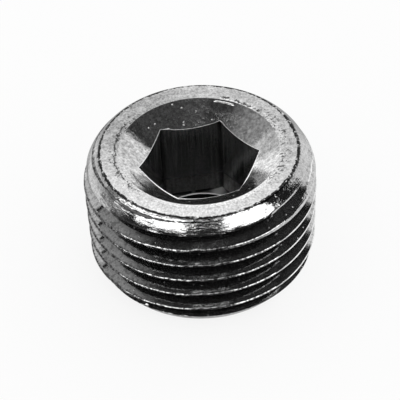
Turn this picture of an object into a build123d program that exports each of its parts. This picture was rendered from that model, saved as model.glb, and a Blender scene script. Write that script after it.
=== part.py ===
from build123d import *

import os
from math import atan, ceil, cos, degrees, radians, sin, sqrt, tan

# Taper-thread pipe plug with a hex socket: one piece, turned, threaded and broached.
# Millimetres. The underside lies on Z = 0, the axis is Z and the socket opens upwards.

# Body. The crest taper is the cone that the thread crests lie on, wider at the top.
total_length = 12.5
crest_diameter_at_top = 21.28
shoulder_step = 1.64
shoulder_radius = 4.1
top_edge_radius = 0.2
lead_height = 1.8
lead_angle = 38.0

# Pipe thread, 1/2 - 14, tapering 1 in 16 on the diameter
thread_pitch = 25.4 / 14
thread_angle = 60.0
thread_taper = 1 / 16
crest_flat = 0.13
root_flat = 0.13
first_groove_depth = 1.27

# Hex socket, with the pilot bore left open below the broached flats
across_flats = 9.525
floor_thickness = 2.1
pilot_inset = 0.11
pilot_relief = 0.8
ledge_angle = 22.0

# Countersink round the socket's mouth, inside the flat rim
rim_width = 1.5
countersink_angle = 120.0
countersink_lip_radius = 1.1

# Sizes that follow
taper_slope = thread_taper / 2
taper_angle = atan(taper_slope)
flank_slope = tan(radians(thread_angle / 2))
thread_depth = (thread_pitch - crest_flat - root_flat) / (2 * flank_slope)
pilot_radius = across_flats / 2 - pilot_inset
pilot_depth = total_length - floor_thickness
hex_floor = floor_thickness + pilot_relief


def crest_radius(height):
    """Radius of the crest taper at a height above the underside."""
    return crest_diameter_at_top / 2 - taper_slope * (total_length - height)


top_radius = crest_radius(total_length) - shoulder_step
countersink_radius = top_radius - rim_width
foot_radius = crest_radius(lead_height) - lead_height * tan(radians(lead_angle))

# The shoulder arc starts on the top face's edge and runs tangent into the crest taper.
step_across = shoulder_step * cos(taper_angle)
shoulder_run = shoulder_step * sin(taper_angle) + sqrt(
    step_across * (2 * shoulder_radius - step_across)
)
shoulder_height = total_length - shoulder_run * cos(taper_angle)


def circle_edge(part, height, radius):
    """The circular edge of a part that lies nearest to a height and a radius."""
    circles = part.edges().filter_by(GeomType.CIRCLE)
    return min(
        circles,
        key=lambda edge: abs(edge.arc_center.Z - height) + abs(edge.radius - radius),
    )


with BuildPart() as blank:
    with BuildSketch(Plane.XZ):
        with BuildLine():
            outline = Polyline(
                (top_radius, total_length),
                (0, total_length),
                (0, 0),
                (foot_radius, 0),
                (crest_radius(lead_height), lead_height),
                (crest_radius(shoulder_height), shoulder_height),
            )
            RadiusArc(outline @ 1, outline @ 0, -shoulder_radius)
        make_face()
    revolve(axis=Axis.Z)
    with Locations((0, 0, total_length)):
        CounterSinkHole(
            radius=pilot_radius,
            counter_sink_radius=countersink_radius,
            depth=pilot_depth,
            counter_sink_angle=countersink_angle,
        )
    fillet(circle_edge(blank, total_length, countersink_radius), countersink_lip_radius)
    fillet(circle_edge(blank, total_length, top_radius), top_edge_radius)

# The broach cuts the flats down to a ledge that slopes into the pilot bore.
corner_radius = across_flats / 2 / cos(radians(30))
ledge_rise = (corner_radius - pilot_radius) * tan(radians(ledge_angle))

with BuildPart() as broach:
    with BuildSketch(Plane.XY.offset(hex_floor)):
        RegularPolygon(across_flats / 2, side_count=6, major_radius=False)
    extrude(amount=total_length - hex_floor)
    with BuildSketch(Plane.XZ) as nose:
        Polygon(
            (0, hex_floor),
            (pilot_radius, hex_floor),
            (corner_radius, hex_floor + ledge_rise),
            (corner_radius, total_length),
            (0, total_length),
            align=None,
        )
    revolve(nose.sketch, axis=Axis.Z, mode=Mode.INTERSECT)

# The thread groove climbs the taper from below the foot to above the top face. It is
# cut one turn at a time, each turn running on a little so that the next one joins it.
groove_overrun = crest_flat / 2
groove_rise = thread_depth + groove_overrun
groove_mouth = root_flat / 2 + groove_rise * flank_slope
turn_overlap = 0.02
turns_below = ceil((total_length - first_groove_depth) / thread_pitch) + 1


def groove_turn(height):
    """One turn of the thread groove, starting on the XZ plane at a height."""
    with BuildPart() as turn:
        with BuildLine() as path:
            Helix(
                thread_pitch,
                thread_pitch * (1 + turn_overlap),
                crest_radius(height) - thread_depth,
                center=(0, 0, height),
                cone_angle=degrees(taper_angle),
            )
        with BuildSketch(Plane(path.line @ 0, x_dir=(1, 0, 0), z_dir=(0, -1, 0))):
            Polygon(
                (0, -root_flat / 2),
                (groove_rise, -groove_mouth),
                (groove_rise, groove_mouth),
                (0, root_flat / 2),
                align=None,
            )
        sweep(path=path.line, is_frenet=True)
    return turn.part


first_turn = total_length - first_groove_depth - turns_below * thread_pitch
groove = [groove_turn(first_turn + n * thread_pitch) for n in range(turns_below + 1)]

with BuildPart() as socket_plug:
    add(blank.part)
    add(broach.part, mode=Mode.SUBTRACT)
    for turn in groove:
        add(turn, mode=Mode.SUBTRACT)

socket_plug.part.label = "socket_plug"

os.makedirs("parts", exist_ok=True)
export_step(socket_plug.part, "parts/socket_plug.step")
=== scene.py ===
"""Looks of a taper-thread pipe plug with a hex socket, in bright plated steel."""
from math import asin, atan, cos, degrees, pi, radians, sin, sqrt, tan

import bmesh
import bpy
from mathutils import Matrix, Vector, noise


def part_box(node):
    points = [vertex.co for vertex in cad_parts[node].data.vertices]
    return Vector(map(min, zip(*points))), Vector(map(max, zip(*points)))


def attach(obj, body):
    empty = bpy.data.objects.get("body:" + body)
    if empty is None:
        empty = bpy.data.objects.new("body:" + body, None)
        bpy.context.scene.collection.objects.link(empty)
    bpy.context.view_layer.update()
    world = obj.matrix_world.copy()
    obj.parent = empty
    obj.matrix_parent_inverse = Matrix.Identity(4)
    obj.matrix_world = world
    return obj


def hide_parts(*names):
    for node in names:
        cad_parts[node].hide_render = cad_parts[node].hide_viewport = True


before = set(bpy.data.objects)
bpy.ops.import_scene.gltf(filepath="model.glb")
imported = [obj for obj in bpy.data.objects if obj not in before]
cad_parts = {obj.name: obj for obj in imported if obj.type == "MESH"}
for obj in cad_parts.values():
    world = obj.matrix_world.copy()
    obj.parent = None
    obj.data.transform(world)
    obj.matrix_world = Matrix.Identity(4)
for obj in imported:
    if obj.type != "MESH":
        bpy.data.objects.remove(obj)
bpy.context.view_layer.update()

MM = 0.001
NODE = "socket_plug"

# Length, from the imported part
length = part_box(NODE)[1].z

# Blank: the cone that the crests lie on, the shoulder arc, the foot's lead chamfer
crest_radius_at_top = 10.64 * MM
taper_slope = 1 / 32
shoulder_radius = 4.1 * MM
shoulder_step = 1.64 * MM
top_edge_radius = 0.2 * MM
lead_height = 1.8 * MM
lead_angle = radians(38)

# Taper pipe thread: 14 turns an inch, 60 degrees between its flanks
pitch = 25.4 / 14 * MM
flank_slope = tan(radians(60) / 2)
crest_flat = 0.14 * MM
root_flat = 0.13 * MM
crest_softness = 0.06 * MM
root_softness = 0.12 * MM
first_groove_depth = 1.27 * MM
runout_height = 0.2 * MM  # the groove fades in over it, so the foot's edge stays round
thread_depth = (pitch - crest_flat - root_flat) / (2 * flank_slope)

# Socket: rim, countersink, broached flats, ledge and pilot bore
rim_width = 1.5 * MM
countersink_rise = radians(30)
countersink_slope = tan(countersink_rise)
countersink_lip_radius = 1.1 * MM
half_flats = 9.525 / 2 * MM
pilot_radius = half_flats - 0.11 * MM
floor_height = 2.1 * MM
hex_floor = floor_height + 0.8 * MM
ledge_slope = tan(radians(22))
pilot_chamfer = 0.1 * MM
pilot_chamfer_slope = tan(radians(36))

# The lip as it looks after use: a shallow round that ends in a crisp edge
lip_radius = 2.125 * MM
lip_turn = radians(15)
lip_edge_ring = radians(0.6)

# The plug's front, where bearings start; + is to its right
front_azimuth = radians(-98.27)

# Wear on the thread: its bearings from the front, and how far it goes
narrow_crests = radians(-5)
narrow_crests_cut = 0.045 * MM
wide_crests = radians(76)
wide_crests_rise = 0.065 * MM
top_turn_rise = 0.02 * MM
first_land = radians(65)
first_land_width = 0.24 * MM
first_land_lean = 0.6  # how far it leans in, for each unit down
first_land_fade = 1.4  # where its finish ends, as a share of its width
knocked_crests = radians(-40)
nick_depth = 0.06 * MM
nick_scale = 2.6 / MM
nicks_foot = 0.5 * MM
bare_crest_cut = 0.25 * MM  # nicks end where the groove is this deep

# Worn land round the socket's mouth: bearings in degrees and widths in millimetres
LAND_WIDTHS = (
    (-180, 0.03),
    (-153, 0.03),
    (-151, 0.16),
    (-147, 0.16),
    (-145, 0.03),
    (-90, 0.06),
    (-78, 0.09),
    (-26, 0.09),
    (-12, 0.05),
    (4, 0.02),
    (48, 0.01),
    (56, 0.08),
    (95, 0.08),
    (102, 0.045),
    (152, 0.035),
    (155, 0.1),
    (159, 0.1),
    (162, 0.03),
    (180, 0.03),
)
land_raggedness = 0.9
land_calm_share = 0.3  # how ragged it is in front, as a share of that behind
land_calm_bearing = 110
land_ripples = 30

# Fineness of the mesh
columns = 384
rows_per_turn = 28
row_gathering = 0.66  # how much the rows crowd towards crests and roots
row_nudge = 0.01 * MM  # step that tells how steeply the groove meets the blank
strip_seam_gap = 0.0005 * MM
ring_seam_gap = 0.002 * MM
sharp_angle = radians(40)

# The thread's finish starts where the groove is this deep
finish_edge = 0.02 * MM

# Sizes that follow
taper_angle = atan(taper_slope)
top_radius = crest_radius_at_top - shoulder_step
foot_radius = crest_radius_at_top - taper_slope * (length - lead_height)
foot_radius -= lead_height * tan(lead_angle)
countersink_radius = top_radius - rim_width
lip_start = countersink_radius + countersink_lip_radius * tan(countersink_rise / 2)
corner_radius = half_flats / cos(radians(30))

# The shoulder arc's centre: the arc runs from the top edge, tangent into the taper.
step_across = shoulder_step * cos(taper_angle)
shoulder_run = shoulder_step * sin(taper_angle) + sqrt(
    step_across * (2 * shoulder_radius - step_across)
)
shoulder_height = length - shoulder_run * cos(taper_angle)
arc_radius_at_centre = (
    crest_radius_at_top
    - taper_slope * (length - shoulder_height)
    - shoulder_radius * cos(taper_angle)
)
arc_height = shoulder_height + shoulder_radius * sin(taper_angle)

# The small round between the shoulder and the flat rim
edge_centre_height = length - top_edge_radius
edge_reach = shoulder_radius - top_edge_radius
edge_angle = asin((edge_centre_height - arc_height) / edge_reach)
edge_centre_radius = arc_radius_at_centre + edge_reach * cos(edge_angle)
wall_top = edge_centre_height + top_edge_radius * sin(edge_angle)

# Heights near the shoulder, for the thread's form, its first land and its nicks
full_thread_top = wall_top - 2.6 * MM
first_land_foot = wall_top - 1.9 * MM
nicks_top = shoulder_height + 1 * MM


class Term:
    """A number in a node tree. Arithmetic between terms becomes Math nodes."""

    def __init__(self, tree, source):
        self.tree = tree
        self.source = source

    def apply(self, operation, *others):
        node = self.tree.nodes.new("ShaderNodeMath")
        node.operation = operation
        for socket, value in zip(node.inputs, (self, *others)):
            join(self.tree, value, socket)
        return Term(self.tree, node.outputs[0])

    def __add__(self, other):
        return self.apply("ADD", other)

    def __sub__(self, other):
        return self.apply("SUBTRACT", other)

    def __mul__(self, other):
        return self.apply("MULTIPLY", other)

    def __truediv__(self, other):
        return self.apply("DIVIDE", other)

    def __rsub__(self, other):
        return Term(self.tree, other).apply("SUBTRACT", self)

    __radd__ = __add__
    __rmul__ = __mul__

    def least(self, other):
        """The smaller of the two."""
        return self.apply("MINIMUM", other)

    def most(self, other):
        """The larger of the two."""
        return self.apply("MAXIMUM", other)

    def ramp(self, start, end, low=0.0, high=1.0):
        """Goes smoothly from low to high as the term goes from start to end."""
        node = self.tree.nodes.new("ShaderNodeMapRange")
        node.interpolation_type = "SMOOTHSTEP"
        for socket, value in zip(node.inputs, (self, start, end, low, high)):
            join(self.tree, value, socket)
        return Term(self.tree, node.outputs[0])

    def spread(self, low, high, reach=0.2):
        """Spreads a noise from low to high, over its middle values as far as its reach."""
        return self.ramp(0.5 - reach, 0.5 + reach, low, high)


def join(tree, value, socket):
    """Feeds a term, a socket or a plain value into a node's socket."""
    value = value.source if isinstance(value, Term) else value
    if isinstance(value, bpy.types.NodeSocket):
        tree.links.new(value, socket)
    else:
        socket.default_value = value


def add_node(tree, kind, settings=None, **inputs):
    """Adds a node, with its settings and its inputs by name, underscores for spaces."""
    node = tree.nodes.new(kind)
    for name, value in (settings or {}).items():
        setattr(node, name, value)
    for name, value in inputs.items():
        join(tree, value, node.inputs[name.replace("_", " ")])
    return node


def cover(under, share, over):
    """Covers a share of what is under with what goes over it."""
    return under + share * (over - under)


def split(tree, vector):
    """The three terms of a vector."""
    node = add_node(tree, "ShaderNodeSeparateXYZ", Vector=vector)
    return [Term(tree, output) for output in node.outputs]


def combine(tree, x, y, z):
    """A vector from three terms."""
    return add_node(tree, "ShaderNodeCombineXYZ", X=x, Y=y, Z=z).outputs[0]


def near_bearing(angle, bearing, far, near, low=0.0, high=1.0):
    """High near a bearing and low away from it, between two cosines of the angle off it."""
    return (angle - bearing).apply("COSINE").ramp(far, near, low, high)


# Threaded wall ----------------------------------------------------------------

WALL_INPUTS = {
    "Wall Top": wall_top,
    "Length": length,
    "Crest Radius At Top": crest_radius_at_top,
    "Taper Slope": taper_slope,
    "Arc Radius": shoulder_radius,
    "Arc Centre Radius": arc_radius_at_centre,
    "Arc Centre Height": arc_height,
    "Foot Radius": foot_radius,
    "Lead Slope": tan(lead_angle),
    "Pitch": pitch,
    "First Groove Depth": first_groove_depth,
    "Thread Depth": thread_depth,
    "Flank Slope": flank_slope,
    "Root Flat": root_flat,
    "Crest Softness": crest_softness,
    "Root Softness": root_softness,
    "First Land": first_land_width,
    "Nick Depth": nick_depth,
    "Seed": 3.0,
}


def wall_profile(size, start, around, height):
    """Radius terms at a height: the blank's, the groove's as if cut all round, the land."""
    crest = size["Crest Radius At Top"] - size["Taper Slope"] * (size["Length"] - height)
    rise = (height - size["Arc Centre Height"]).most(0.0)
    reach = (size["Arc Radius"] * size["Arc Radius"] - rise * rise).apply("SQRT")
    shoulder = size["Arc Centre Radius"] + reach
    lead = size["Foot Radius"] + height * size["Lead Slope"]
    blank = crest.least(shoulder).least(lead)

    # Distance along the axis from the groove's centre line, then its two flanks
    turn = (height - start) / size["Pitch"] - around
    off_centre = turn.apply("WRAP", 0.5, -0.5).apply("ABSOLUTE") * size["Pitch"]
    flank = (off_centre - size["Root Flat"] * 0.5) / size["Flank Slope"]
    rounded = flank.apply("SMOOTH_MAX", 0.0, size["Root Softness"])
    groove = crest - size["Thread Depth"] + rounded

    # The groove is a little shallower in the top turns. Crests are narrower in front,
    # where it is cut deeper, and wider at the right, where it is shallower.
    groove = groove + height.ramp(full_thread_top - 1.4 * MM, full_thread_top, 0.0, top_turn_rise)
    bearing = around * (2 * pi) - front_azimuth
    wide = near_bearing(bearing, wide_crests, 0.8, 0.95)
    narrow = near_bearing(bearing, narrow_crests, 0.6, 0.85)
    groove = groove + wide * wide_crests_rise - narrow * narrow_crests_cut

    # A narrow upright land where the groove breaks into the shoulder, at the right
    there = near_bearing(bearing, first_land, 0.86, 0.95)
    there = there * height.ramp(first_land_foot - 0.2 * MM, first_land_foot)
    above_edge = (groove - blank) * size["Flank Slope"]
    land = there * above_edge.ramp(size["First Land"] * first_land_fade, size["First Land"])
    blank = blank - there * (size["First Land"] - above_edge).most(0.0) * first_land_lean
    return blank, groove, land


def strip_rows(tree, size, turns):
    """How far round the strip's points are, as a share of a turn, and their heights.

    On the grid, X goes once round and Y climbs one pitch a turn. Its rows are gathered
    at the crests and the roots.
    """
    place = tree.nodes.new("GeometryNodeInputPosition").outputs[0]
    across, along, _ = split(tree, place)
    around = across + 0.5
    climb = along + turns / 2
    gathered = climb - (climb * (4 * pi)).apply("SINE") * (row_gathering / (4 * pi))
    start = size["Length"] - size["First Groove Depth"] - size["Pitch"] * (turns - 1)
    height = start + size["Pitch"] * (gathered + around)
    height = height.most(0.0).least(size["Wall Top"])

    # A row that lies nearest to the groove's edge moves onto it, so the edge stays true.
    blank, groove, _ = wall_profile(size, start, around, height)
    above = wall_profile(size, start, around, height + row_nudge)
    clear = groove - blank
    steepness = (above[1] - above[0] - clear) / row_nudge
    row_height = size["Pitch"] * (1.0 - (climb * (4 * pi)).apply("COSINE") * row_gathering)
    move = clear * -1.0 / steepness
    near = (row_height / rows_per_turn * 0.5 - move.apply("ABSOLUTE")).ramp(0.0, 0.0001 * MM)
    inside = height.ramp(0.0, row_nudge) * height.ramp(wall_top, wall_top - row_nudge)
    height = (height + move * near * inside).most(0.0)
    return start, around, height


def nick_term(tree, size, angle, radius, height):
    """How deep the nicks are, as a share: where crests were knocked or the thread tore."""
    x = radius * angle.apply("COSINE")
    y = radius * angle.apply("SINE")
    grain = add_node(
        tree,
        "ShaderNodeTexNoise",
        {"noise_dimensions": "4D"},
        Vector=combine(tree, x, y, height),
        W=size["Seed"],
        Scale=nick_scale,
        Detail=2.0,
    )
    knocked = near_bearing(angle, front_azimuth + knocked_crests, 0.7, 0.95, 0.1, 0.8)
    return Term(tree, grain.outputs[0]).ramp(0.5, 0.62) * knocked


def give_wall_finishes(tree, wall, steel, thread_steel):
    """The thread's finish in the groove and on its crests, the blank's finish elsewhere."""
    cut = add_node(
        tree, "GeometryNodeInputNamedAttribute", {"data_type": "FLOAT"}, Name="cut"
    )
    place = tree.nodes.new("GeometryNodeInputPosition").outputs[0]
    low = split(tree, place)[2].ramp(full_thread_top + 0.1 * MM, full_thread_top)
    threaded = add_node(
        tree,
        "FunctionNodeCompare",
        {"data_type": "FLOAT", "operation": "GREATER_THAN"},
        A=Term(tree, cut.outputs[0]) + low * MM,
        B=finish_edge,
    )
    plain = add_node(tree, "GeometryNodeSetMaterial", Geometry=wall, Material=steel)
    return add_node(
        tree,
        "GeometryNodeSetMaterial",
        Geometry=plain.outputs[0],
        Selection=threaded.outputs[0],
        Material=thread_steel,
    ).outputs[0]


def threaded_wall_tree(steel, thread_steel):
    """Geometry Nodes for the outer wall: a strip wound along the thread's helix."""
    tree = bpy.data.node_groups.new("threaded wall", "GeometryNodeTree")
    tree.is_modifier = True
    tree.interface.new_socket("Geometry", in_out="OUTPUT", socket_type="NodeSocketGeometry")
    for name in WALL_INPUTS:
        tree.interface.new_socket(name, in_out="INPUT", socket_type="NodeSocketFloat")
    given = tree.nodes.new("NodeGroupInput").outputs
    size = {name: Term(tree, given[name]) for name in WALL_INPUTS}

    # The strip has turns enough to reach past the wall at both ends.
    turns = int(length / pitch) + 3
    grid = add_node(
        tree,
        "GeometryNodeMeshGrid",
        Size_X=1.0,
        Size_Y=float(turns),
        Vertices_X=columns + 1,
        Vertices_Y=turns * rows_per_turn + 1,
    )
    start, around, height = strip_rows(tree, size, turns)
    blank, groove, land = wall_profile(size, start, around, height)
    radius = groove.apply("SMOOTH_MIN", blank, size["Crest Softness"])
    cut = (blank - radius).most(0.0) * height.ramp(0.0, runout_height)
    radius = blank - cut

    # Nicks lie on the crests only, clear of the foot's edge and the shoulder.
    angle = around * (2 * pi)
    nick = nick_term(tree, size, angle, radius, height)
    bare = cut.ramp(bare_crest_cut, 0.0)
    above_foot = height.ramp(0.0, nicks_foot)
    below_shoulder = height.ramp(nicks_top + 1 * MM, nicks_top)
    worn = radius - nick * bare * above_foot * below_shoulder * size["Nick Depth"]

    # The first land takes the thread's finish too.
    finish_depth = cut.most(land * (finish_edge * 1.05))

    x = worn * angle.apply("COSINE")
    y = worn * angle.apply("SINE")
    stored = add_node(
        tree,
        "GeometryNodeStoreNamedAttribute",
        {"data_type": "FLOAT", "domain": "POINT"},
        Geometry=grid.outputs["Mesh"],
        Name="cut",
        Value=finish_depth,
    )
    moved = add_node(
        tree,
        "GeometryNodeSetPosition",
        Geometry=stored.outputs[0],
        Position=combine(tree, x, y, height),
    )
    merged = add_node(
        tree,
        "GeometryNodeMergeByDistance",
        Geometry=moved.outputs[0],
        Distance=strip_seam_gap,
    )
    real = add_node(tree, "GeometryNodeRealizeInstances", Geometry=merged.outputs[0])
    finished = give_wall_finishes(tree, real.outputs[0], steel, thread_steel)
    result = tree.nodes.new("NodeGroupOutput")
    join(tree, finished, result.inputs[0])
    return tree


def threaded_wall(steel, thread_steel):
    """The outer wall's mesh, worked out by the tree."""
    tree = threaded_wall_tree(steel, thread_steel)
    holder = bpy.data.objects.new("wall", bpy.data.meshes.new("wall"))
    bpy.context.scene.collection.objects.link(holder)
    modifier = holder.modifiers.new("threaded wall", "NODES")
    modifier.node_group = tree
    for item in tree.interface.items_tree:
        if item.in_out == "INPUT":
            modifier[item.identifier] = WALL_INPUTS[item.name]
    evaluated = holder.evaluated_get(bpy.context.evaluated_depsgraph_get())
    mesh = bpy.data.meshes.new_from_object(evaluated)
    bpy.data.objects.remove(holder)
    return mesh


# Rings inside and under the wall ----------------------------------------------

def hex_radius(angle):
    """Distance from the axis to the hex socket's flats; corners lie at 0, 60, ... degrees."""
    return half_flats / cos((angle % radians(60)) - radians(30))


def cone_height(radius):
    """Height of the countersink's cone at a radius."""
    return length - (countersink_radius - radius) * countersink_slope


def land_width(turn):
    """Width of the worn land, read between the bearings that are given."""
    bearing = (degrees(turn - front_azimuth) + 180) % 360 - 180
    for (start, width), (end, next_width) in zip(LAND_WIDTHS, LAND_WIDTHS[1:]):
        if bearing <= end:
            share = (bearing - start) / (end - start)
            spot = Vector((cos(turn) * land_ripples, sin(turn) * land_ripples, 0.0))
            calm = land_calm_share if abs(bearing) < land_calm_bearing else 1.0
            ragged = 1.0 + land_raggedness * noise.noise(spot) * calm
            return (width + (next_width - width) * share) * ragged * MM
    return LAND_WIDTHS[-1][1] * MM


def even(start, end, count):
    """Count values from just after start up to end."""
    return [start + (end - start) * (n + 1) / count for n in range(count)]


def top_edge_rings():
    """From the wall's top ring over the small round to the flat rim."""
    for angle in even(edge_angle, pi / 2, 8):
        radius = edge_centre_radius + top_edge_radius * cos(angle)
        height = edge_centre_height + top_edge_radius * sin(angle)
        yield lambda turn, radius=radius, height=height: (radius, height)


def rim_rings():
    """Across the flat rim and round the lip to its inner edge."""
    for radius in even(edge_centre_radius, lip_start, 4):
        yield lambda turn, radius=radius: (radius, length)
    for angle in even(0, lip_turn - lip_edge_ring, 5) + [lip_turn]:
        radius = lip_start - lip_radius * sin(angle)
        height = length - lip_radius * (1 - cos(angle))
        yield lambda turn, radius=radius, height=height: (radius, height)


def countersink_rings():
    """Down the cone to the scalloped edge where the flats cut it.

    The rings lie close together at both ends, which keeps the edges there crisp.
    """
    lip_end = lip_start - lip_radius * sin(lip_turn)
    lip_drop = lip_radius * (1 - cos(lip_turn))
    for share in (0.012, 0.25, 0.5, 0.75, 0.988, 1.0):
        def point(turn, share=share):
            mouth = hex_radius(turn) + land_width(turn)
            mouth_drop = length - cone_height(mouth)
            radius = lip_end + (mouth - lip_end) * share
            return radius, length - lip_drop - (mouth_drop - lip_drop) * share
        yield point


def socket_rings():
    """Down the broached flats, over the ledge and down the pilot bore to the floor."""
    for share in even(0, 1, 6):
        def wall_point(turn, share=share):
            radius = hex_radius(turn)
            top = cone_height(radius + land_width(turn))
            ledge = hex_floor + (radius - pilot_radius) * ledge_slope
            return radius, top + (ledge - top) * share
        yield wall_point
    for share in even(0, 1, 2):
        def ledge_point(turn, share=share):
            inner = pilot_radius + pilot_chamfer
            radius = hex_radius(turn) + (inner - hex_radius(turn)) * share
            return radius, hex_floor + (radius - pilot_radius) * ledge_slope
        yield ledge_point
    chamfer_foot = hex_floor + pilot_chamfer * (ledge_slope - pilot_chamfer_slope)
    for height in [chamfer_foot] + even(chamfer_foot, floor_height, 3):
        yield lambda turn, height=height: (pilot_radius, height)
    for radius in even(pilot_radius, 0.2 * pilot_radius, 3):
        yield lambda turn, radius=radius: (radius, floor_height)


def underside_rings():
    """From the wall's foot in towards the axis."""
    for radius in even(foot_radius, 0.1 * foot_radius, 4):
        yield lambda turn, radius=radius: (radius, 0.0)


def land_rings():
    """The worn land round the socket's mouth."""
    for share in (0.5, 1.0):
        def land_point(turn, share=share):
            mouth = hex_radius(turn)
            land = land_width(turn)
            return mouth + land * (1 - share), cone_height(mouth + land)
        yield land_point


def add_ring(shape, ring):
    """A ring of points. The ring gives its radius and its height at each turn."""
    points = []
    for column in range(columns):
        turn = 2 * pi * column / columns
        radius, height = ring(turn)
        points.append(shape.verts.new((radius * cos(turn), radius * sin(turn), height)))
    return points


def add_rings(shape, first, rings, material, pole_height=None):
    """Adds rings of faces, each joined to the one before, and a closing pole if asked."""
    follow = [*range(1, columns), 0]
    before = first
    for ring in rings:
        after = add_ring(shape, ring)
        for here, there in enumerate(follow):
            face = shape.faces.new((before[here], before[there], after[there], after[here]))
            face.material_index = material
        before = after
    if pole_height is not None:
        pole = shape.verts.new((0, 0, pole_height))
        for here, there in enumerate(follow):
            face = shape.faces.new((before[here], before[there], pole))
            face.material_index = material
    return before


def build_plug(finishes):
    """The whole plug as one closed mesh, with its finishes in the order named here."""
    turned, thread, face, countersink, land, socket = range(6)
    wall = threaded_wall(finishes[turned], finishes[thread])
    shape = bmesh.new()
    shape.from_mesh(wall)
    for polygon in shape.faces:
        polygon.material_index = finishes.index(wall.materials[polygon.material_index])

    # The rings start on the wall's two ends, and merge with them below.
    wall_top_radius = edge_centre_radius + top_edge_radius * cos(edge_angle)
    ring = add_ring(shape, lambda turn: (wall_top_radius, wall_top))
    ring = add_rings(shape, ring, top_edge_rings(), face)
    ring = add_rings(shape, ring, rim_rings(), face)
    ring = add_rings(shape, ring, countersink_rings(), countersink)
    ring = add_rings(shape, ring, land_rings(), land)
    add_rings(shape, ring, socket_rings(), socket, floor_height)
    foot = add_ring(shape, lambda turn: (foot_radius, 0.0))
    add_rings(shape, foot, underside_rings(), turned, 0.0)
    bmesh.ops.remove_doubles(shape, verts=shape.verts, dist=ring_seam_gap)
    bmesh.ops.recalc_face_normals(shape, faces=shape.faces)
    open_edges = sum(1 for edge in shape.edges if len(edge.link_faces) != 2)
    if open_edges:
        print("open edges:", open_edges)
    for polygon in shape.faces:
        polygon.smooth = True

    mesh = bpy.data.meshes.new("plug")
    shape.to_mesh(mesh)
    shape.free()
    for material in finishes:
        mesh.materials.append(material)
    mesh.set_sharp_from_angle(angle=sharp_angle)
    plug = bpy.data.objects.new("plug", mesh)
    bpy.context.scene.collection.objects.link(plug)
    return plug


# Finishes ---------------------------------------------------------------------

def shader_tree(name):
    """A new material, its tree and its main shader."""
    material = bpy.data.materials.new(name)
    material.use_nodes = True
    tree = material.node_tree
    return material, tree, tree.nodes["Principled BSDF"]


def grey(tree, value):
    """A grey colour from a term."""
    return combine(tree, value, value, value)


def object_place(tree):
    """Object coordinates in millimetres: the vector, x, y, the radius and the height."""
    place = tree.nodes.new("ShaderNodeTexCoord").outputs["Object"]
    scaled = add_node(
        tree, "ShaderNodeVectorMath", {"operation": "SCALE"}, Vector=place, Scale=1 / MM
    )
    x, y, height = split(tree, scaled.outputs[0])
    radius = (x * x + y * y).apply("SQRT")
    return scaled.outputs[0], x, y, radius, height


def noise_term(tree, vector, scale, detail=2.0, roughness=0.5):
    """A noise from about 0 to 1."""
    node = add_node(
        tree,
        "ShaderNodeTexNoise",
        Vector=vector,
        Scale=scale,
        Detail=detail,
        Roughness=roughness,
    )
    return Term(tree, node.outputs[0])


def specks(tree, place, scale, size, share):
    """1 at small scattered dots, 0 elsewhere. Scale is in cells a millimetre."""
    cells = add_node(tree, "ShaderNodeTexVoronoi", Vector=place, Scale=scale)
    picked = split(tree, cells.outputs["Color"])[0].ramp(share, share - 0.02)
    near = Term(tree, cells.outputs["Distance"]).ramp(size * scale, size * scale * 0.4)
    return near * picked


def band(term, centre, width, softness):
    """1 within a band around a centre value, 0 outside."""
    return (term - centre).apply("ABSOLUTE").ramp(width + softness, width)


def from_front(x, y):
    """How far a place lies towards the plug's front, and how far to the right of it."""
    ahead = x * cos(front_azimuth) + y * sin(front_azimuth)
    aside = y * cos(front_azimuth) - x * sin(front_azimuth)
    return ahead, aside


def bearing_term(x, y):
    """Angle round the axis in degrees, 0 at the plug's front and + to its right."""
    ahead, aside = from_front(x, y)
    return aside.apply("ARCTAN2", ahead) * degrees(1)


def finish_shader(tree, shader, value, roughness, relief, depth, metallic=1.0):
    """Sets up bare metal: grey value, roughness and a relief of a depth in millimetres."""
    shader.inputs["Metallic"].default_value = metallic
    join(tree, grey(tree, value), shader.inputs["Base Color"])
    join(tree, roughness, shader.inputs["Roughness"])
    bump = add_node(tree, "ShaderNodeBump", Strength=1.0, Distance=depth * MM, Height=relief)
    join(tree, bump.outputs[0], shader.inputs["Normal"])


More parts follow.
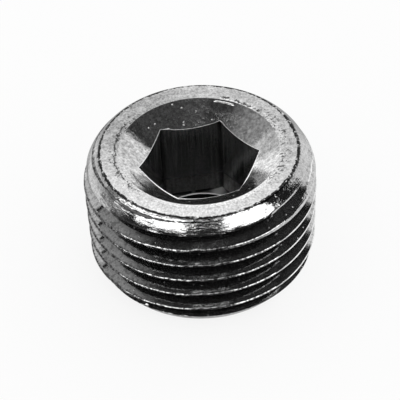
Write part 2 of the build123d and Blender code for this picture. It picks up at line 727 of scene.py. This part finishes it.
def face_finish():
    """The faced rim and its lip: satin, with pits in a ring and a ragged dark line painted at the
    edge as shade.
    """
    material, tree, shader = shader_tree("faced steel")
    place, x, y, radius, height = object_place(tree)
    around = bearing_term(x, y)
    cloud = noise_term(tree, place, 1.3, 4.0, 0.65)
    fine = noise_term(tree, place, 4.5, 4.0, 0.75)
    turned = noise_term(tree, combine(tree, radius * 16.0, height * 16.0, 0.0), 1.0, 3.0)

    # Pits where the lip begins, in a chain on the left and scattered on the right
    wander = (cloud - 0.5) * 0.9
    chain = band(radius + wander, 7.6, 0.03, 0.1) * band(around, -84.0, 34.0, 8.0)
    chain = chain.most(band(radius + wander, 7.5, 0.06, 0.12) * band(around, 146.0, 13.0, 6.0))
    strewn = band(radius, 7.6, 0.35, 0.3) * band(around, -88.0, 38.0, 10.0)
    field = band(radius + wander, 7.75, 0.2, 0.7) * band(around, 92.0, 32.0, 18.0)
    torn = noise_term(tree, place, 3.4, 3.0, 0.65)
    grains = noise_term(tree, place, 4.2, 2.0, 0.6)
    pits = (torn.ramp(0.57, 0.52) * chain).most(grains.ramp(0.42, 0.37) * strewn)
    pits = pits.most(torn.ramp(0.45, 0.41) * field * 0.9)
    pits = pits.most(specks(tree, place, 2.4, 0.1, 0.6) * field * 0.9)
    pits = pits.most(specks(tree, place, 1.6, 0.07, 0.3) * 0.8)

    # A dark line painted along the outer edge as shade, thicker in places
    wobble = (noise_term(tree, place, 2.2, 4.0, 0.75) - 0.5) * 0.42
    swell = noise_term(tree, place, 1.0, 2.0).ramp(0.48, 0.66) * 0.08
    swell = swell + band(around, 85.0, 40.0, 25.0) * 0.07
    edge = (radius + wobble + swell).ramp(8.85, 8.89)
    edge = edge * torn.ramp(0.62, 0.54)

    # Greyer behind, and at the left: painted shade. One bright bruise on the lip behind, a dent
    # with a painted highlight
    side_shade = around.apply("ABSOLUTE").ramp(40.0, 100.0, 0.67, 0.55)
    side_shade = side_shade - band(around, -128.0, 18.0, 34.0) * 0.15
    value = side_shade + cloud.spread(-0.08, 0.08) + fine.spread(-0.18, 0.18, 0.22)
    bruise_and_highlight = band(radius + wander * 0.3, 7.38, 0.07, 0.08) * band(around, 149.0, 11.0, 6.0)
    value = value + bruise_and_highlight * fine.ramp(0.42, 0.52, 0.1, 0.42)
    value = value * (1.0 - pits * 0.88) * (1.0 - edge * 0.96)
    roughness = fine.spread(0.06, 0.14)
    relief = fine * 0.15 + turned * 0.05 - pits * 0.8
    finish_shader(tree, shader, value, roughness, relief, 0.018)
    return material


def turned_finish():
    """The turned shoulder: bright, streaked round, uneven in places, with a tool mark."""
    material, tree, shader = shader_tree("turned steel")
    place, x, y, radius, height = object_place(tree)
    around = bearing_term(x, y)
    cloud = noise_term(tree, place, 1.3, 4.0, 0.6)
    fine = noise_term(tree, place, 5.0, 3.0, 0.7)
    streaks = noise_term(tree, combine(tree, x * 1.2, y * 1.2, height * 6.5), 1.0, 2.0, 0.6)
    speckle = noise_term(tree, place, 3.4, 2.0, 0.6)

    # Where the tool chattered: in front, and less on both sides
    strokes = noise_term(tree, combine(tree, x * 1.3, y * 1.3, height * 5.0), 1.0, 1.0)
    in_front = band(around, 1.0, 9.0, 7.0)
    uneven = in_front.most(band(around, 42.0, 1.0, 2.0) * 0.15)
    uneven = uneven.most(band(around, -52.0, 9.0, 6.0) * 0.5)

    # The tool mark: a dull band with a broken black line on each side
    dashes = noise_term(tree, combine(tree, x * 1.7, y * 1.7, height * 7.0), 1.0, 3.0, 0.65)
    ragged = height + (dashes - 0.5) * 0.22
    middle = around.ramp(-44.0, 0.0, 12.09, 12.23)
    width = band(around, -43.0, 8.0, 22.0) * 0.07 + 0.02
    off = (ragged - middle).apply("ABSOLUTE")
    reach = around.ramp(14.0, 6.0) * around.ramp(-64.0, -54.0)
    mark = off.ramp(width + 0.02, width) * reach
    lines = band(off, width, 0.02, 0.03).most(band(ragged, middle + 0.19, 0.01, 0.02))
    second = band(ragged, 11.8, 0.02, 0.03) * band(around, -33.0, 5.0, 4.0)
    lines = (lines * reach).most(second) * speckle.ramp(0.42, 0.48)
    dull = around.ramp(-52.0, -46.0, 0.3, 0.06)

    # Scratches on the dark part at the right
    scratched = band(around, 56.0, 9.0, 5.0)
    scratches = noise_term(tree, combine(tree, x * 1.6, y * 1.6, height * 3.0), 1.0, 3.0, 0.7)

    # Pits, a dark line painted at the top edge as shade, and a stain at the left
    dots = specks(tree, place, 1.6, 0.08, 0.45)
    edge = (radius + (speckle - 0.5) * 0.4).ramp(9.12, 9.08)
    stain = noise_term(tree, place, 2.4, 4.0, 0.7).ramp(0.5, 0.6) * around.ramp(-36.0, -50.0)
    stain = stain * around.ramp(-72.0, -62.0)

    value = 0.54 + cloud.spread(-0.05, 0.05) + fine.spread(-0.15, 0.15)
    value = value * (1.0 - stain * 0.4) * (1.0 - edge * 0.8)
    value = cover(cover(value, mark, dull), lines, 0.02)
    roughness = fine.spread(0.02, 0.06)
    broken = uneven.most(band(around, -30.0, 20.0, 12.0) * 0.25)
    relief = streaks * 0.5 + dashes * broken * 2.5
    relief = relief + strokes * in_front * 3.0
    relief = relief + strokes * band(around, -58.0, 5.0, 5.0) * 2.5
    relief = relief + speckle * (uneven * 0.3 + 0.25) + dots * 2.0
    relief = relief + scratches * scratched * 2.6
    finish_shader(tree, shader, value, roughness, relief, 0.02)
    return material


def countersink_finish():
    """The countersink: duller, with small marks of the cutter."""
    material, tree, shader = shader_tree("countersink steel")
    place, x, y, radius, height = object_place(tree)
    around = bearing_term(x, y)
    cloud = noise_term(tree, place, 2.2, 4.0, 0.65)
    fine = noise_term(tree, place, 4.0, 3.0, 0.7)
    dots = specks(tree, place, 1.5, 0.1, 0.4)

    # Chatter of the cutter at the left; behind, a ridge under the lip and a rough smear
    chatter = noise_term(tree, combine(tree, x * 2.0, y * 2.0, height * 9.0), 1.0, 3.0, 0.7)
    chattered = band(around, -64.0, 3.0, 14.0) * band(radius, 6.6, 0.05, 0.35)
    wavy = radius + (cloud - 0.5) * 0.1
    ridge = band(wavy, 7.05, 0.01, 0.07) * band(around, 159.0, 4.0, 5.0)
    smear = band(around, 153.0, 9.0, 8.0) * band(radius, 5.9, 0.2, 0.6)

    value = 0.58 + cloud.spread(-0.13, 0.13, 0.15) + fine.spread(-0.17, 0.17)
    # Lighter at the back left; the ridge is painted light, a painted highlight over its relief.
    value = value + band(around, -148.0, 12.0, 20.0) * 0.2 + ridge * 0.42
    relief = fine * 0.12 + cloud * 0.6 + dots * 3.0 + chatter * chattered * 4.0
    relief = relief + ridge * 3.2
    roughness = fine.spread(0.03, 0.08) + smear * fine.spread(0.04, 0.2, 0.25)
    finish_shader(tree, shader, value, roughness, relief, 0.02, 0.97)
    return material


def land_finish():
    """The land that keys have rubbed bright round the socket's mouth, with a painted highlight
    that is brightest in front.
    """
    material, tree, shader = shader_tree("rubbed steel with painted highlight")
    place, x, y, *_ = object_place(tree)
    around = bearing_term(x, y)
    fine = noise_term(tree, place, 4.0, 3.0, 0.7)
    # Brighter in front: painted highlight.
    value = around.apply("ABSOLUTE").ramp(90.0, 120.0, 0.88, 0.66)
    value = value + fine.spread(-0.15, 0.1)
    finish_shader(tree, shader, value, fine.spread(0.03, 0.08), fine * 0.3, 0.02)
    return material


def thread_finish():
    """The cut thread: knocked crests, painted shade in the roots with less of it and smoother
    flanks at the left, and crests painted lighter at the right and darker at the left.
    """
    material, tree, shader = shader_tree("thread steel")
    place, x, y, *_ = object_place(tree)
    around = bearing_term(x, y)
    cut = add_node(tree, "ShaderNodeAttribute", {"attribute_name": "cut"})
    depth = Term(tree, cut.outputs["Fac"]) / MM
    cloud = noise_term(tree, place, 1.5, 4.0, 0.6)
    fine = noise_term(tree, place, 5.5, 4.0, 0.75)
    torn = noise_term(tree, place, 3.4, 4.0, 0.75)
    dots = specks(tree, place, 1.6, 0.08, 0.4)
    at_left = band(around, -104.0, 44.0, 28.0)
    at_right = band(around, 100.0, 48.0, 26.0)

    # Painted shade by the groove's depth, less at the left, and crests that are dark where they
    # tore
    groove_shade = depth.ramp(0.25, 0.7) * (0.5 - at_left * 0.4)
    groove_shade = groove_shade.most(depth.ramp(0.95, 1.12) * (0.97 - at_left * 0.67))
    crest = depth.ramp(0.24, 0.05) * (1.0 - at_right * 0.92)
    stain = noise_term(tree, place, 2.2, 4.0, 0.7).ramp(0.5, 0.6)

    value = 0.58 + cloud.spread(-0.06, 0.05) + fine.spread(-0.12, 0.12, 0.22)
    value = value * (1.0 - groove_shade) * (1.0 - stain * 0.4)
    # Crests painted lighter, most at the right: painted highlight.
    value = value + depth.ramp(0.08, 0.02) * (at_right * 0.3 + 0.12)
    value = value * (1.0 - crest * torn.ramp(0.56, 0.44) * 0.85)
    # Crests painted darker at the left: painted shade.
    value = value * (1.0 - depth.ramp(0.16, 0.06) * at_left * 0.5)
    relief = fine * (0.18 - at_left * 0.12) + dots * 3.0
    relief = relief + crest * torn * (1.2 - band(around, 12.0, 16.0, 14.0) * 0.9)
    finish_shader(tree, shader, value, fine.spread(0.02, 0.06), relief, 0.02, 0.99)
    return material


def socket_finish():
    """The broached flats: dull, with fine upright tool marks and painted shade in the corners,
    over a ledge and bore painted dark as shade.
    """
    material, tree, shader = shader_tree("socket steel")
    place, x, y, radius, height = object_place(tree)
    around = bearing_term(x, y)
    along = combine(tree, x * 4.0, y * 4.0, height * 0.2)
    marks = noise_term(tree, along, 1.0, 4.0, 0.6)
    fine = noise_term(tree, place, 4.5, 3.0, 0.7)
    dots = specks(tree, place, 1.2, 0.07, 0.3)

    # The flats are painted darker into the corners: painted shade. The ledge is painted dark as
    # shade, with a painted highlight next to the bore and on one side behind; the bore is painted
    # nearly black as shade.
    flats = marks.spread(0.42, 0.6) + fine.spread(-0.1, 0.1)
    turn = y.apply("ARCTAN2", x) * degrees(1)
    corner = turn.apply("PINGPONG", 30.0).ramp(3.5, 1.0)
    flats = flats * (1.0 - corner * 0.6)
    ledge_top = (hex_floor + (corner_radius - pilot_radius) * ledge_slope) / MM
    on_ledge = height.ramp(ledge_top + 0.1, ledge_top)
    ledge = band(around, 161.0, 2.0, 9.0) * 0.3 + 0.1
    bore = pilot_radius / MM
    ledge = cover(ledge, radius.ramp(bore + 0.12, bore + 0.1), 0.7)
    value = cover(cover(flats, on_ledge, ledge), radius.ramp(bore + 0.02, bore), 0.04)

    relief = marks + fine * 0.6 + dots * 2.0
    roughness = marks.spread(0.12, 0.25).most(height.ramp(6.0, 4.5, 0.1, 0.4))
    finish_shader(tree, shader, value, roughness, relief, 0.008, 0.98)
    return material


# Stage ------------------------------------------------------------------------

def place_camera():
    """The camera looks down at the plug, past a corner of the socket."""
    elevation = radians(42.447)
    roll = radians(2.70)
    distance = 222.2 * MM
    view_right = -0.103 * MM
    view_up = 4.521 * MM
    focal_length = 223.3
    sensor_width = 36
    forward = Vector(
        (
            -cos(elevation) * cos(front_azimuth),
            -cos(elevation) * sin(front_azimuth),
            -sin(elevation),
        )
    )
    level_right = forward.cross(Vector((0, 0, 1))).normalized()
    level_up = level_right.cross(forward)
    right = level_right * cos(roll) - level_up * sin(roll)
    up = level_right * sin(roll) + level_up * cos(roll)
    target = Vector((0, 0, length))
    centre = target - view_right * right - view_up * up - distance * forward
    camera = bpy.data.objects.new("camera", bpy.data.cameras.new("camera"))
    camera.data.lens = focal_length
    camera.data.sensor_width = sensor_width
    camera.data.clip_start = 0.01
    camera.matrix_world = Matrix.Translation(centre) @ Matrix(
        (right, up, -forward)
    ).transposed().to_4x4()
    bpy.context.scene.collection.objects.link(camera)
    bpy.context.scene.camera = camera


def lay_floor():
    """A plain white floor that keeps a faint shadow of the plug."""
    bpy.ops.mesh.primitive_plane_add(size=2.0)
    floor = bpy.context.object
    floor.name = "floor"
    material = bpy.data.materials.new("white floor")
    material.use_nodes = True
    tree = material.node_tree
    paint = tree.nodes["Principled BSDF"]
    paint.inputs["Base Color"].default_value = (0.97, 0.97, 0.97, 1)
    paint.inputs["Roughness"].default_value = 0.9
    paint.inputs["Specular IOR Level"].default_value = 0.0

    # To the camera and in reflections it is nearly all even white, so shadows stay faint.
    backdrop_strength = 0.985
    backdrop_share = 0.86
    glow = add_node(tree, "ShaderNodeEmission", Color=(1, 1, 1, 1), Strength=backdrop_strength)
    paths = tree.nodes.new("ShaderNodeLightPath").outputs
    seen = Term(tree, paths["Is Camera Ray"]).most(paths["Is Glossy Ray"])
    seen = seen.most(paths["Is Transmission Ray"])
    mix = tree.nodes.new("ShaderNodeMixShader")
    join(tree, seen * backdrop_share, mix.inputs[0])
    join(tree, paint.outputs[0], mix.inputs[1])
    join(tree, glow.outputs[0], mix.inputs[2])
    join(tree, mix.outputs[0], tree.nodes["Material Output"].inputs["Surface"])
    floor.data.materials.append(material)

    # The plug mirrors the studio's floor instead.
    floor.visible_glossy = False


def panel(bearing, elevation, left, right, bottom, top, softness=0.7, tilt=0.0):
    """1 inside a panel of the studio, given by its sides in degrees, and 0 outside."""
    if tilt:
        elevation = elevation - bearing * tilt
    across = bearing.ramp(left - softness, left + softness) * bearing.ramp(
        right + softness, right - softness
    )
    upward = elevation.ramp(bottom - softness, bottom + softness) * elevation.ramp(
        top + softness, top - softness
    )
    return across * upward


def light_studio():
    """A grey room: light behind the plug, dark towards the camera, and two softboxes.

    Only reflections see it. All else gets even white light from the world.
    """
    softbox, front_strip, upper_strip = 2.4, 1.5, 1.7
    world = bpy.data.worlds.new("studio")
    world.use_nodes = True
    world.cycles.sampling_method = "NONE"
    tree = world.node_tree
    direction = tree.nodes.new("ShaderNodeTexCoord").outputs["Generated"]
    x, y, z = split(tree, direction)
    ahead, aside = from_front(x, y)
    bearing = bearing_term(x, y)
    elevation = z.apply("ARCSINE") * degrees(1)

    # Light wall behind the plug, up to a dark ceiling
    light = elevation.ramp(37, 40.3, 1.2, 0.85) + elevation.ramp(40.3, 43.5, 0.0, 0.35)
    light = light - elevation.ramp(44.5, 50, 0.0, 0.25)
    light = light * aside.ramp(-0.05, 0.05, 1.08, 0.95)
    sides = bearing.apply("ABSOLUTE").ramp(150, 142)
    light = cover(light, sides, aside.ramp(-0.3, 0.3, 0.72, 0.95))
    ceiling = ahead.ramp(-0.02, 0.12).most(aside.apply("ABSOLUTE").ramp(0.36, 0.5))
    ceiling = ceiling.most(elevation.ramp(74, 78))
    light = cover(light, ceiling * elevation.ramp(40, 44), 0.085)

    # Floor: white, greyer behind and on the left, black in front
    behind = bearing.apply("ABSOLUTE").ramp(140, 160)
    floor = cover(1.0, behind, 0.5)
    floor = cover(floor, panel(bearing, elevation, -36, 62, -91, -20, 12), 0.32)
    floor = cover(floor, panel(bearing, elevation, -150, -80, -91, -20, 4), 0.4)
    dark_floor = panel(bearing, elevation, -110, 22, -91, 2, 3)
    low_wall = panel(bearing, elevation, -110, 113, -27, 50, 2, tilt=0.2)
    floor = cover(floor, dark_floor.most(low_wall) * bearing.ramp(-98, -84), 0.03)
    light = cover(light, elevation.ramp(1, -1), floor)

    # Grey wall on the left, with the dark seam at its slanting far side
    slanted = bearing + (elevation - 14.0).most(0.0) * 0.66
    left_wall = panel(slanted, elevation, -110.5, -40, -1, 100)
    grey_wall = elevation.ramp(44, 70, 0.36, 0.12) * bearing.ramp(-104, -76, 1.0, 0.6)
    light = cover(light, left_wall, cover(grey_wall, elevation.ramp(44, 36), 0.36))
    seam = panel(slanted, elevation, -112.0, -109.0, 12, 35, 0.4)
    light = cover(light, seam, 0.0)

    # Dark wall on the right, with a slanting far side
    light = cover(light, panel(bearing, elevation, 78, 122.5, 27, 100), 0.02)
    light = cover(light, panel(bearing, elevation, 78, 127, 38.5, 100, softness=1.6), 0.03)
    slanted = bearing + (elevation - 2.4) * 0.477
    light = cover(light, panel(slanted, elevation, 78, 112.9, 0, 28), 0.02)

    # Dark room towards the camera, with the softboxes on both sides of it
    room = panel(bearing, elevation, -100, 82, 0, 76, 1.5) * bearing.ramp(-87, -73)
    light = cover(light, room, 0.03)
    left_box = panel(bearing, elevation, -67, -19, 27.6, 62, tilt=0.16)
    left_streak = panel(bearing, elevation, -91, -58, 59.8, 84, tilt=0.45)
    left_streak = left_streak.most(panel(bearing, elevation, -50, -40, -1, 6))
    right_box = panel(bearing, elevation, 27, 73, 32.8, 73, tilt=-0.35)
    between = panel(bearing, elevation, -18, 20, 52.5, 58)
    light = cover(light, between, front_strip)
    light = cover(light, panel(bearing, elevation, -27, 27, 66, 72), upper_strip)
    light = cover(light, panel(bearing, elevation, -19, 27, 43.5, 47.5), 0.15)
    light = cover(light, left_box.most(left_streak).most(right_box), softbox)

    paths = tree.nodes.new("ShaderNodeLightPath").outputs
    shiny = Term(tree, paths["Is Glossy Ray"])
    strength = shiny * (light - 1.0) + 1.0
    background = tree.nodes["Background"]
    background.inputs["Color"].default_value = (1, 1, 1, 1)
    join(tree, strength, background.inputs["Strength"])
    bpy.context.scene.world = world


finishes = [
    turned_finish(),
    thread_finish(),
    face_finish(),
    countersink_finish(),
    land_finish(),
    socket_finish(),
]
plug = build_plug(finishes)
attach(plug, "root")
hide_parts(NODE)

lay_floor()
light_studio()
place_camera()

scene = bpy.context.scene
scene.view_settings.view_transform = "Standard"
